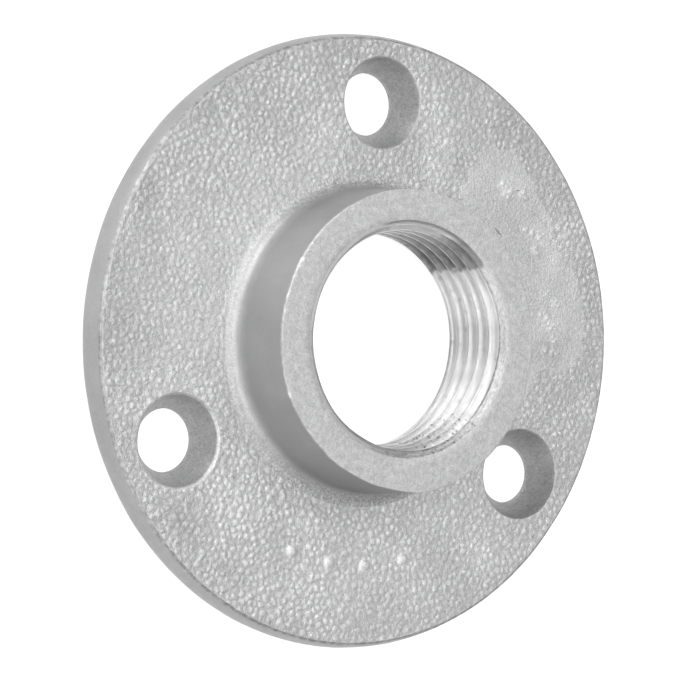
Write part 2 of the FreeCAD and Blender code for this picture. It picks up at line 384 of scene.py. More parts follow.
def curve_points(start, corner, end, steps):
    t = np.linspace(0, 1, steps + 1)[:, None]
    return list(curve(t, np.array(start), np.array(corner), np.array(end)))


# Rim, from the back face round to the front
def crown_radius(z):
    return RIM_RADIUS - CROWN_RADIUS + math.sqrt(CROWN_RADIUS**2 - (z - PLATE / 2) ** 2)


EDGE_ROUND = 0.24
RIM_ROUGHNESS = 0.03
back_edge = crown_radius(0.0) - EDGE_ROUND
front_edge = crown_radius(FACE) - EDGE_ROUND
side_low = (crown_radius(EDGE_ROUND), EDGE_ROUND)
side_high = (crown_radius(FACE - EDGE_ROUND), FACE - EDGE_ROUND)
rim_profile = curve_points((back_edge, 0.0), (crown_radius(0.0), 0.0), side_low, 3)
rim_profile += [(crown_radius(z), z) for z in np.linspace(side_low[1], side_high[1], 8)[1:-1]]
rim_profile += curve_points(side_high, (crown_radius(FACE), FACE), (front_edge, FACE), 4)
rim_rings = []
for number, (radius, z) in enumerate(rim_profile):
    points = ring(radius, z, RIM_STEPS)
    if 0 < number < len(rim_profile) - 1:
        points = roughened(points, RIM_ROUGHNESS, 4.0, 51)
    before_face = len(rim_profile) - 1 - number
    if before_face < 3:
        share = (1.0, 0.7, 0.35)[before_face]
        points[:, 2] += share * (face_height(points[:, 0], points[:, 1]) - FACE)
    rim_rings.append(build.points(points))
build.bands(rim_rings, RIM)

# Hub: foot fillet, drafted wall, worn outer edge with a few nicks, end face
HUB_ROUGHNESS = 0.03
WEAR = 0.03
WEAR_MOST = 0.6
WORN_SIDE = 155.0
FLAT_SIDE = -110.0
FLAT_DEPTH = 0.46
FLAT_AT_FOOT = 0.3
# Nicks in the hub's outer edge: place in degrees, depth in millimetres, spread in degrees
NICKS = [
    (127.0, 0.08, 0.7), (136.0, 0.14, 0.6), (138.9, 0.2, 0.6), (142.5, 0.1, 0.8), (146.0, 0.2, 0.7),
    (149.5, 0.34, 0.7), (153.2, 0.42, 1.0), (155.8, 0.28, 0.7), (160.0, 0.2, 0.7), (168.0, 0.17, 0.7),
    (174.0, 0.1, 0.8), (-154.6, 0.3, 0.8), (-139.0, 0.3, 0.7),
]


def wall_radius(z):
    return HUB_RADIUS + (HUB_TOP - z) * math.tan(HUB_DRAFT)


def turn_from(degrees, middle):
    """The angle from middle to degrees, in -180..180."""
    return (degrees - middle + 180) % 360 - 180


def flattened(points, share):
    """Moves points in where the hub's side is a little flat, at its lower left."""
    off = turn_from(np.degrees(np.arctan2(points[:, 1], points[:, 0])), FLAT_SIDE)
    off = np.where(off > 0, 1.4 * off, off)
    depth = FLAT_DEPTH * smoothstep(46.0, 20.0, np.abs(off)) + 0.12 * np.exp(-((off / 8.0) ** 2))
    points[:, :2] *= (1.0 - share * depth / np.hypot(points[:, 0], points[:, 1]))[:, None]
    return points


fillet_top = FACE + FOOT_FILLET * (1 + math.sin(HUB_DRAFT))
foot_radius = wall_radius(fillet_top) + FOOT_FILLET * math.cos(HUB_DRAFT)
hub_rings = []
for lean in np.linspace(0, math.pi / 2 - HUB_DRAFT, 10):
    radius = foot_radius - FOOT_FILLET * math.sin(lean)
    points = ring(radius, FACE + FOOT_FILLET * (1 - math.cos(lean)), HUB_STEPS)
    grain = face_height(points[:, 0], points[:, 1]) - FACE
    points[:, 2] += grain * max(math.cos(1.8 * lean), 0.0)
    if lean > 0:
        rough = 0.05 * value_noise(points, 0.9, 63) + 0.035 * value_noise(points, 0.5, 64)
        points[:, 2] += rough * math.cos(lean) ** 2
        points = roughened(points, HUB_ROUGHNESS, 3.5, 61)
    hub_rings.append(flattened(points, FLAT_AT_FOOT * min(lean / 0.8, 1.0)))
hub_angle = np.arange(HUB_STEPS) * 2 * math.pi / HUB_STEPS
hub_degrees = np.degrees(hub_angle)
along_edge = ring(HUB_RADIUS, HUB_TOP, HUB_STEPS)
near_worn_side = smoothstep(36.0, 20.0, np.abs(turn_from(hub_degrees, WORN_SIDE)))
wear = WEAR + 0.04 * np.clip(value_noise(along_edge, 0.6, 71), 0, 1)
wear += 0.24 * np.clip(value_noise(along_edge, 0.8, 72), 0, 1) * near_worn_side
for place, depth, spread in NICKS:
    wear += depth * np.exp(-((turn_from(hub_degrees, place) / spread) ** 2))
wear = np.clip(wear, 0.02, WEAR_MOST)
for t in (0.16, 0.33, 0.5, 0.67, 0.84, 0.97, 1.0):
    z = fillet_top + (HUB_TOP - wear - fillet_top) * t
    points = roughened(ring(wall_radius(z), z, HUB_STEPS), HUB_ROUGHNESS, 3.5, 61)
    hub_rings.append(flattened(points, FLAT_AT_FOOT + (1.0 - FLAT_AT_FOOT) * t))
side_ids = [build.points(points) for points in hub_rings]
build.bands(side_ids, HUB)
edge = ring(wall_radius(HUB_TOP) - 0.3 * wear, HUB_TOP - 0.3 * wear, HUB_STEPS)
end_ids = [side_ids[-1], build.points(flattened(roughened(edge, 0.02, 0.7, 75), 1.0))]
outer = HUB_RADIUS - wear
for t in (0.0, 0.04, 0.2, 0.4, 0.6, 0.8, 1.0):
    radius = outer + (MOUTH_RADIUS + MOUTH_LIP - outer) * t
    points = ring(radius, HUB_TOP, HUB_STEPS, (BORE_SHIFT[0] * t, BORE_SHIFT[1] * t))
    uneven = 0.012 * value_noise(points, 2.6, 81) + 0.008 * value_noise(points, 0.9, 82)
    points[:, 2] -= np.abs(uneven)
    end_ids.append(build.points(flattened(points, 1.0 - t)))
build.bands(end_ids, TURNED)

# Bore: a rounded lip and lead-in chamfer, the pipe thread on its helix, and the relief behind it
CREST = 15.09
CREST_TAPER = 1 / 32
SHARP_HEIGHT = 0.9605 * THREAD_PITCH
THREAD_ROUND = 0.1
THREAD_LOW = 3.25
THREAD_HIGH = HUB_TOP - 0.5
ROW_GAP = 0.06
LEAD_IN_SLOPE = 1.3
RELIEF_RADIUS = CREST_RADIUS + RELIEF_WIDTH
RELIEF_SLOPE = (RELIEF_RADIUS - 14.86) / RELIEF_DEPTH
# Where the mesh's rows lie in one turn of the thread, and the lip's radii with their depths
PROFILE = (0.0, 0.1, 0.24, 0.37, 0.46, 0.54, 0.63, 0.76, 0.9)
LIP = ((MOUTH_RADIUS + 0.04, 0.05), (MOUTH_RADIUS - 0.04, 0.18), (MOUTH_RADIUS - 0.15, 0.35))


def thread_cut(turn):
    """Depth of the thread below its crest, from its place in one turn: 0 is the crest, 0.5 the root."""
    off = np.abs(turn - np.round(turn)) * 2
    cut = SHARP_HEIGHT * off - SHARP_HEIGHT / 6
    cut = 0.5 * (cut + np.sqrt(cut * cut + THREAD_ROUND**2))
    room = THREAD_DEPTH - cut
    return THREAD_DEPTH - 0.5 * (room + np.sqrt(room * room + THREAD_ROUND**2))


def relief_radius(z):
    return RELIEF_RADIUS - z * RELIEF_SLOPE


def bore_radius(turn, z):
    crest = CREST - (HUB_TOP - z) * CREST_TAPER
    cut = thread_cut(turn) * smoothstep(HUB_TOP - 0.2, HUB_TOP - 1.4, z)
    lead_in = LIP[-1][0] - LEAD_IN_SLOPE * (HUB_TOP - LIP[-1][1] - z)
    return np.maximum(np.maximum(crest + cut, lead_in), relief_radius(z))


step_ids = [end_ids[-1]]
for radius, depth in LIP:
    step_ids.append(build.points(ring(radius, HUB_TOP - depth, HUB_STEPS, BORE_SHIFT)))
chamfer_z = np.full(HUB_STEPS, THREAD_HIGH)
chamfer = ring(bore_radius(hub_angle * 0, chamfer_z), chamfer_z, HUB_STEPS, BORE_SHIFT)
step_ids.append(build.points(chamfer))
build.bands(step_ids, THREAD)
columns = []
for column, angle in enumerate(hub_angle):
    rows = {}
    for row in range(int(THREAD_HIGH / THREAD_PITCH + 2) * len(PROFILE)):
        whole, part = divmod(row - len(PROFILE), len(PROFILE))
        z = THREAD_PITCH * (whole + PROFILE[part] + column / HUB_STEPS)
        if THREAD_LOW + ROW_GAP < z < THREAD_HIGH - ROW_GAP:
            rows[row] = (z, PROFILE[part])
    z, turn = np.array(list(rows.values())).T
    radius = bore_radius(turn, z)
    x = BORE_SHIFT[0] + radius * math.cos(angle)
    y = BORE_SHIFT[1] + radius * math.sin(angle)
    columns.append(dict(zip(rows, build.points(np.column_stack([x, y, z])))))
columns.append({row - len(PROFILE): number for row, number in columns[0].items()})
low_ring = build.points(ring(relief_radius(THREAD_LOW), THREAD_LOW, HUB_STEPS, BORE_SHIFT))
high_ring = step_ids[-1]
for column in range(HUB_STEPS):
    here, there = columns[column], columns[column + 1]
    after = (column + 1) % HUB_STEPS
    for row in here:
        if row + 1 in here and row in there and row + 1 in there:
            build.face(THREAD, here[row + 1], there[row + 1], there[row], here[row])
    top, next_top = max(here), max(there)
    build.face(THREAD, high_ring[column], high_ring[after], there[next_top], here[top])
    if next_top < top:
        build.face(THREAD, here[top], there[next_top], here[next_top])
    low, next_low = min(here), min(there)
    build.face(THREAD, here[low], there[next_low], low_ring[after], low_ring[column])
    if next_low < low:
        build.face(THREAD, here[low], there[low], there[next_low])
relief_ids = [low_ring]
for z in (2.0, 1.0, 0.0):
    relief_ids.append(build.points(ring(relief_radius(z), z, HUB_STEPS, BORE_SHIFT)))
build.bands(relief_ids, BACK)
build.crease(relief_ids[-1])

# Countersunk screw holes: a rounded edge, the cone and the through hole
front_loops = []
back_loops = []
for hole in SCREW_HOLES:
    rounding = hole.rounding
    outer = ring(SINK_RADIUS + rounding, 0.0, SINK_STEPS, hole.sink)
    outer[:, 2] = face_height(outer[:, 0], outer[:, 1])
    lean = math.atan2(SINK_RADIUS - SCREW_RADIUS, FACE - LAND)
    cone_radius = SINK_RADIUS - rounding * math.sin(lean)
    cone_z = FACE - rounding * math.cos(lean)
    rings = [build.points(outer)]
    for t in (0.25, 0.5, 0.75, 1.0):
        radius = curve(t, SINK_RADIUS + rounding, SINK_RADIUS, cone_radius)
        z = curve(t, outer[:, 2], outer[:, 2] * 0.5 + FACE * 0.5, cone_z)
        rings.append(build.points(ring(radius, z, SINK_STEPS, hole.sink)))
    for t in np.linspace(0, 1, 6)[1:]:
        centre = [a + (b - a) * t for a, b in zip(hole.sink, hole.hole)]
        radius = cone_radius + (hole.radius - cone_radius) * t
        z = cone_z + (LAND - cone_z) * t
        rings.append(build.points(ring(radius, z, SINK_STEPS, centre)))
    rings.append(build.points(ring(hole.radius, 0.0, SINK_STEPS, hole.hole)))
    build.bands(rings, SINK)
    front_loops.append(rings[0])
    back_loops.append(rings[-1])
    build.crease(rings[-2])
    build.crease(rings[-1])


def fill(loops, points, height, zone, upwards):
    """Triangulates a face between its loops (the outer one, the middle one, the holes)."""
    spots = build.points(np.column_stack([points, height(points[:, 0], points[:, 1])]))
    ids = np.concatenate(loops + [spots])
    owner = [np.full(len(loop), number) for number, loop in enumerate(loops)]
    owner = np.concatenate(owner + [np.full(len(spots), -1)])
    edges = []
    start = 0
    for loop in loops:
        edges += [(start + i, start + (i + 1) % len(loop)) for i in range(len(loop))]
        start += len(loop)
    flat = np.vstack(build.blocks)[ids][:, :2]
    corners = [Vector(p) for p in flat.tolist()]
    made = geometry.delaunay_2d_cdt(corners, edges, [], 0, MERGE_DISTANCE)
    verts, faces, source = made[0], made[2], made[3]
    if len(verts) != len(ids):
        raise RuntimeError("the face filling made or merged points")
    back_to = np.array([s[0] for s in source])
    tris = back_to[np.array(faces)]
    own = owner[tris]
    in_hole = (own[:, 0] == own[:, 1]) & (own[:, 1] == own[:, 2]) & (own[:, 0] >= 1)
    tris = tris[~in_hole]
    a, b, c = (flat[tris[:, k]] for k in range(3))
    area = (b - a)[:, 0] * (c - a)[:, 1] - (b - a)[:, 1] * (c - a)[:, 0]
    wrong = (area < 0) == upwards
    tris[wrong] = tris[wrong][:, ::-1]
    build.faces.extend(ids[tris].tolist())
    middle = (flat[tris[:, 0]] + flat[tris[:, 1]] + flat[tris[:, 2]]) / 3
    build.zones.extend(zone(middle[:, 0], middle[:, 1]).tolist())


def between(points, outer, inner, holes, gap):
    """Those points that lie on the face, at least gap from its loops; holes are (centre, radius)."""
    radius = np.hypot(points[:, 0], points[:, 1])
    keep = (radius < outer - gap) & (radius > inner + gap)
    for (cx, cy), size in holes:
        keep &= np.hypot(points[:, 0] - cx, points[:, 1] - cy) > size + gap
    return points[keep]


def face_zone(x, y):
    grain = grain_mask(x, y) - island_mask(x, y)
    return np.where((grain < 0.5) & (np.hypot(x, y) > 24.0), SMOOTH, CAST)


def back_zone(x, y):
    return np.full(len(x), BACK)


def back_height(x, y):
    """The back face is flat, with shallow hollows that stay clear of its edges."""
    radius = np.hypot(x, y)
    fade = smoothstep(RELIEF_RADIUS, RELIEF_RADIUS + 1.5, radius) * smoothstep(42.0, 40.5, radius)
    for hole in SCREW_HOLES:
        away = np.hypot(x - hole.hole[0], y - hole.hole[1])
        fade = fade * smoothstep(SCREW_RADIUS, SCREW_RADIUS + 1.5, away)
    return 0.04 * (0.5 + 0.5 * flat_noise(x, y, 6.0, 91)) * fade


sinks = [(hole.sink, SINK_RADIUS + hole.rounding) for hole in SCREW_HOLES]
spots = between(face_points(), front_edge, foot_radius, sinks, POINT_GAP)
fill([rim_rings[-1], side_ids[0]] + front_loops, spots, face_height, face_zone, True)

through = [(hole.hole, hole.radius) for hole in SCREW_HOLES]
spots = between(jittered_lattice(BACK_SPACING, 0.2), back_edge, RELIEF_RADIUS, through, 0.5)
fill([rim_rings[0], relief_ids[-1]] + back_loops, spots, back_height, back_zone, False)

coords = np.vstack(build.blocks) * MM
mesh = bpy.data.meshes.new("flange_casting")
mesh.from_pydata(coords.tolist(), [], build.faces)
mesh.update()
if mesh.validate():
    raise RuntimeError("the casting's mesh needed repair")
mesh.polygons.foreach_set("material_index", np.array(build.zones, np.int32))
mesh.shade_smooth()
crease_keys = set(map(tuple, np.sort(np.vstack(build.creases), axis=1).tolist()))
edge_ends = np.zeros(len(mesh.edges) * 2, np.int32)
mesh.edges.foreach_get("vertices", edge_ends)
edge_ends = np.sort(edge_ends.reshape(-1, 2), axis=1)
sharp = np.fromiter((tuple(e) in crease_keys for e in edge_ends.tolist()), bool, len(edge_ends))
mesh.attributes.new("sharp_edge", "BOOLEAN", "EDGE").data.foreach_set("value", sharp)
casting = bpy.data.objects.new("flange_casting", mesh)
bpy.context.scene.collection.objects.link(casting)


# Materials: coordinates reach the nodes in millimetres of the part's own frame
class Finish:
    """A metal finish and the few kinds of node that it is made from."""

    def __init__(self, name, metallic):
        self.material = bpy.data.materials.new(name)
        self.material.use_nodes = True
        self.nodes = self.material.node_tree.nodes
        self.links = self.material.node_tree.links
        self.bsdf = self.nodes["Principled BSDF"]
        self.bsdf.inputs["Metallic"].default_value = metallic
        coord = self.nodes.new("ShaderNodeTexCoord")
        scale = self.nodes.new("ShaderNodeVectorMath")
        scale.operation = "SCALE"
        scale.inputs["Scale"].default_value = 1 / MM
        self.links.new(coord.outputs["Object"], scale.inputs[0])
        self.place = scale.outputs["Vector"]
        split = self.nodes.new("ShaderNodeSeparateXYZ")
        self.links.new(self.place, split.inputs[0])
        self.x = split.outputs["X"]
        self.y = split.outputs["Y"]
        self.z = split.outputs["Z"]
        self.normal = None

    def put(self, value, socket):
        if isinstance(value, (int, float)):
            socket.default_value = value
        else:
            self.links.new(value, socket)

    def math(self, operation, a, b=0.0, c=0.0):
        node = self.nodes.new("ShaderNodeMath")
        node.operation = operation
        self.put(a, node.inputs[0])
        self.put(b, node.inputs[1])
        self.put(c, node.inputs[2])
        return node.outputs["Value"]

    def plus(self, a, b):
        return self.math("ADD", a, b)

    def most(self, a, b):
        return self.math("MAXIMUM", a, b)

    def one_less(self, value):
        return self.math("SUBTRACT", 1.0, value)

    def times(self, *factors):
        total = factors[0]
        for factor in factors[1:]:
            total = self.math("MULTIPLY", total, factor)
        return total

    def ranged(self, value, low, high, out_low, out_high):
        """Maps low..high to out_low..out_high and holds the ends."""
        node = self.nodes.new("ShaderNodeMapRange")
        self.put(value, node.inputs["Value"])
        node.inputs["From Min"].default_value = low
        node.inputs["From Max"].default_value = high
        node.inputs["To Min"].default_value = out_low
        node.inputs["To Max"].default_value = out_high
        return node.outputs["Result"]

    def rising(self, value, low, high):
        """0 up to low and 1 from high."""
        return self.ranged(value, low, high, 0.0, 1.0)

    def falling(self, value, low, high):
        """1 up to low and 0 from high."""
        return self.ranged(value, low, high, 1.0, 0.0)

    def span(self, value, low, high, soft):
        """1 from low to high, falling to 0 over the width soft at both ends."""
        return self.times(self.rising(value, low - soft, low), self.falling(value, high, high + soft))

    def factor(self, mask, strength):
        """1 where the mask is 0, and strength where it is 1."""
        return self.ranged(mask, 0.0, 1.0, 1.0, strength)

    def noise(self, per_mm, detail=2.0, stretch=None):
        node = self.nodes.new("ShaderNodeTexNoise")
        node.inputs["Scale"].default_value = per_mm
        node.inputs["Detail"].default_value = detail
        place = self.place
        if stretch is not None:
            squeeze = self.nodes.new("ShaderNodeVectorMath")
            squeeze.operation = "MULTIPLY"
            self.links.new(self.place, squeeze.inputs[0])
            squeeze.inputs[1].default_value = stretch
            place = squeeze.outputs["Vector"]
        self.links.new(place, node.inputs["Vector"])
        return node.outputs["Fac"]

    def mottle(self, per_mm, detail, low, high, half=0.2, stretch=None):
        """Noise that wanders from low to high; half is the half width of the noise that is used."""
        return self.ranged(self.noise(per_mm, detail, stretch), 0.5 - half, 0.5 + half, low, high)

    def specks(self, per_mm, size, soft=0.4):
        """1 in small round specks scattered about, 0 elsewhere."""
        node = self.nodes.new("ShaderNodeTexVoronoi")
        node.inputs["Scale"].default_value = per_mm
        self.links.new(self.place, node.inputs["Vector"])
        return self.falling(node.outputs["Distance"], size * (1 - soft), size)

    def radius(self):
        squares = self.plus(self.times(self.x, self.x), self.times(self.y, self.y))
        return self.math("SQRT", squares)

    def azimuth(self):
        return self.times(self.math("ARCTAN2", self.y, self.x), 180 / math.pi)

    def mark(self, x, y, degrees, length, width, soft):
        """1 inside an ellipse seen from straight above, 0 outside it."""
        lean = math.radians(degrees)
        axes = (
            (length / 2, math.cos(lean), math.sin(lean)),
            (width / 2, -math.sin(lean), math.cos(lean)),
        )
        away = []
        for size, across, up in axes:
            start = -(x * across + y * up) / size
            part = self.math("MULTIPLY_ADD", self.x, across / size, start)
            part = self.math("MULTIPLY_ADD", self.y, up / size, part)
            away.append(self.times(part, part))
        distance = self.math("SQRT", self.plus(away[0], away[1]))
        return self.falling(distance, 1 - soft, 1.0)

    def colour(self, shade, tone, blue=0.004):
        """Base colour: a grey of the given tone with a little blue, times the shade."""
        tint = self.nodes.new("ShaderNodeVectorMath")
        tint.operation = "SCALE"
        tint.inputs[0].default_value = (tone, tone, tone + blue)
        self.put(shade, tint.inputs["Scale"])
        self.links.new(tint.outputs["Vector"], self.bsdf.inputs["Base Color"])

    def roughness(self, value):
        self.links.new(value, self.bsdf.inputs["Roughness"])

    def bump(self, height, distance_mm, strength=1.0):
        node = self.nodes.new("ShaderNodeBump")
        self.put(strength, node.inputs["Strength"])
        node.inputs["Distance"].default_value = distance_mm * MM
        self.put(height, node.inputs["Height"])
        if self.normal is not None:
            self.links.new(self.normal, node.inputs["Normal"])
        self.normal = node.outputs["Normal"]
        self.links.new(self.normal, self.bsdf.inputs["Normal"])


# Soft patches, partly marks in the zinc and partly painted light and shade: middle, lean in degrees,
# length and width in millimetres, and strength, dark above zero and light below
PAINTED_LIGHT_AND_PATCHES = [
    (-37.5, 17.0, 115, 22.0, 7.0, 0.09), (-40.0, -5.0, 90, 14.0, 4.0, 0.08),
    (-35.5, -10.5, 60, 5.0, 3.0, 0.1), (-27.0, -27.5, 130, 13.0, 6.0, 0.1),
    (-18.0, -33.5, 150, 7.0, 4.0, 0.1), (14.2, 26.4, 120, 5.0, 3.0, 0.1),
    (-8.0, -41.0, 170, 9.0, 3.0, 0.08), (-29.0, 28.0, 40, 12.0, 5.0, 0.06),
    (24.5, 24.0, 7, 0.9, 0.3, 0.5), (-21.0, 19.0, 48, 27.0, 14.0, -0.12),
    (13.0, -24.0, 28, 9.0, 6.0, -0.1), (-7.0, -26.0, 170, 9.0, 5.0, -0.12),
    (9.0, 30.0, 90, 20.0, 8.0, -0.16), (-10.0, 28.0, 60, 12.0, 8.0, -0.14),
    (33.0, 18.0, 112, 20.0, 8.0, -0.13), (-30.5, 9.0, 127, 18.0, 8.0, -0.13),
    (34.0, 2.0, 10, 15.0, 6.0, 0.1), (-25.0, -27.0, 100, 15.0, 8.0, 0.07),
]
ZINC_METALLIC = 0.7
# Painted light and shade: how the zinc's tone changes over each millimetre to the right and upwards
PAINTED_LIGHT_ACROSS = 0.0013
PAINTED_LIGHT_UP = -0.0018


def zinc_skin(name, tone, painted_grain_light, gloss, bumps):
    """The galvanised cast skin: clouds, flecks, painted light and shade, soft patches, a painted
    highlight on the grain tops with painted shade in their valleys, and bumps, coarse first.
    """
    skin = Finish(name, ZINC_METALLIC)
    shade = skin.times(
        skin.mottle(0.12, 4.0, 0.95, 1.05), skin.mottle(4.2, 2.0, 0.86, 1.14),
        skin.mottle(1.7, 2.0, 0.95, 1.05))
    # Painted light and shade: a gradient across the face, lighter to the right and darker upwards
    across = skin.math("MULTIPLY_ADD", skin.x, PAINTED_LIGHT_ACROSS, 1.0)
    shade = skin.times(shade, skin.math("MULTIPLY_ADD", skin.y, PAINTED_LIGHT_UP, across))
    # Patches: partly marks in the zinc, partly painted light and shade
    for x, y, degrees, length, width, strength in PAINTED_LIGHT_AND_PATCHES:
        patch_mask = skin.mark(x, y, degrees, length, width, 0.8)
        shade = skin.times(shade, skin.factor(patch_mask, 1 - strength))
    radius = skin.radius()
    # Painted light near the hub, lifting the shade that falls there, and painted shade towards the rim
    painted_light_near_hub = skin.ranged(radius, 24.0, 30.0, 1.04, 1.0)
    painted_shade_near_rim = skin.ranged(radius, 36.0, 40.0, 1.0, 0.965)
    nick = skin.factor(skin.mark(21.65, 17.7, -40, 1.9, 0.32, 0.4), 0.45)
    # Painted highlight on the grain tops and painted shade in the valleys between them, by height, less
    # on the pips
    on_pips = skin.ranged(skin.z, FACE + 0.2, FACE + 0.3, 1.0, 0.3)
    rise = skin.times(skin.rising(skin.z, FACE - 0.01, FACE + 0.1), on_pips)
    tops = skin.math("MULTIPLY_ADD", skin.times(rise, rise), painted_grain_light, 1 - painted_grain_light / 3)
    skin.colour(skin.times(shade, painted_light_near_hub, painted_shade_near_rim, nick, tops), tone)
    skin.roughness(skin.mottle(1.4, 3.0, gloss, gloss + 0.14, 0.15))
    for per_mm, distance in bumps:
        skin.bump(skin.noise(per_mm), distance)
    return skin.material


def cast_face():
    return zinc_skin("cast_face", 0.594, 0.26, 0.43, ((2.0, 0.045), (4.6, 0.07)))


def smooth_face():
    return zinc_skin("smooth_face", 0.67, 0.2, 0.48, ((2.0, 0.075), (4.6, 0.065)))


def cast_rim():
    skin = Finish("cast_rim", ZINC_METALLIC)
    cloud = skin.mottle(0.2, 4.0, 0.94, 1.05)
    fleck = skin.mottle(3.6, 2.0, 0.95, 1.05)
    # Painted shade on the rim's side, less of it towards the front edge as a painted highlight, which
    # noise breaks in places; more painted shade at the lower left
    ragged = skin.plus(skin.z, skin.mottle(1.1, 3.0, -0.3, 0.15, 0.15))
    painted_rim_shading = skin.ranged(ragged, 4.5, 4.9, 0.67, 0.88)
    shaded = skin.factor(skin.span(skin.azimuth(), -172.0, -156.0, 12.0), 0.9)
    broken = skin.times(skin.rising(skin.z, 4.45, 4.7), skin.mottle(1.5, 3.0, 0.3, 0.0, 0.1))
    shade = skin.times(cloud, fleck, painted_rim_shading, shaded, skin.one_less(broken))
    skin.colour(shade, 0.60)
    skin.roughness(skin.mottle(1.2, 3.0, 0.4, 0.5, 0.15))
    skin.bump(skin.noise(1.6), 0.02)
    skin.bump(skin.noise(4.6), 0.02)
    return skin.material


def hub_side():
    skin = Finish("hub_side", ZINC_METALLIC)
    z = skin.z
    turn = skin.azimuth()
    # Painted shade on the hub's side above the foot fillet, with painted light further up it
    ragged = skin.plus(z, skin.mottle(0.6, 3.0, -0.35, 0.35))
    wall = skin.ranged(ragged, 5.4, 7.8, 1.0, 0.685)
    painted_light_up_wall = skin.ranged(z, 8.0, 14.0, 1.0, 1.07)
    # The top edge lighter: worn metal with a painted highlight
    worn_and_highlit_edge = skin.times(skin.rising(z, 15.8, 16.05), skin.mottle(1.2, 3.0, 0.35, 1.0, 0.1))
    cloud = skin.times(skin.mottle(0.2, 4.0, 0.96, 1.05), skin.mottle(1.2, 2.0, 0.98, 1.02))
    # Painted shade on the hub's lower side, painted light on its left side and painted shade on the foot
    # at the top
    painted_low_side = skin.times(skin.rising(turn, -132.0, -96.0), skin.falling(turn, -70.0, -30.0))
    painted_low_side = skin.times(painted_low_side, skin.ranged(z, 5.8, 7.2, 0.25, 1.0))
    painted_light_left_side = skin.times(skin.span(turn, 140.0, 162.0, 16.0), skin.rising(z, 6.2, 7.4))
    painted_shade_up_foot = skin.times(skin.span(turn, 92.0, 128.0, 14.0), skin.span(z, 5.3, 6.3, 0.5))
    away_from_left = skin.falling(skin.math("ABSOLUTE", turn), 110.0, 150.0)
    fleck_size = skin.ranged(z, 5.2, 6.5, 0.24, 0.03)
    fleck_size = skin.times(fleck_size, skin.ranged(away_from_left, 0.0, 1.0, 0.65, 1.3))
    fleck = skin.math("MULTIPLY_ADD", skin.mottle(3.2, 2.0, -1.0, 1.0), fleck_size, 1.0)
    shade = skin.times(
        wall, skin.factor(painted_low_side, 0.72), skin.factor(painted_light_left_side, 1.14), skin.factor(painted_shade_up_foot, 0.87),
        painted_light_up_wall, skin.factor(worn_and_highlit_edge, 1.6), cloud, fleck)
    skin.colour(shade, 0.56)
    skin.roughness(skin.ranged(z, 5.4, 7.6, 0.5, 0.44))
    foot = skin.times(
        skin.ranged(z, 5.2, 6.6, 1.0, 0.12), skin.ranged(away_from_left, 0.0, 1.0, 0.6, 1.0))
    skin.bump(skin.noise(1.8), 0.1, foot)
    skin.bump(skin.noise(4.6), 0.08, foot)
    return skin.material


def end_face():
    turned = Finish("end_face", ZINC_METALLIC)
    cloud = turned.mottle(0.5, 4.0, 0.95, 1.04)
    fleck = turned.mottle(3.8, 2.0, 0.88, 1.12)
    patchy = turned.mottle(1.3, 2.0, 0.9, 1.1)
    crack = turned.factor(turned.mark(-17.5, 10.5, 5, 0.9, 0.16, 0.4), 0.62)
    nicked = turned.ranged(turned.z, HUB_TOP - 0.08, HUB_TOP - 0.03, 1.25, 1.0)
    turned.colour(turned.times(cloud, fleck, patchy, crack, nicked), 0.61)
    turned.roughness(turned.mottle(0.9, 3.0, 0.5, 0.62, 0.15))
    turned.bump(turned.noise(2.0), 0.045)
    turned.bump(turned.noise(4.6), 0.035)
    return turned.material


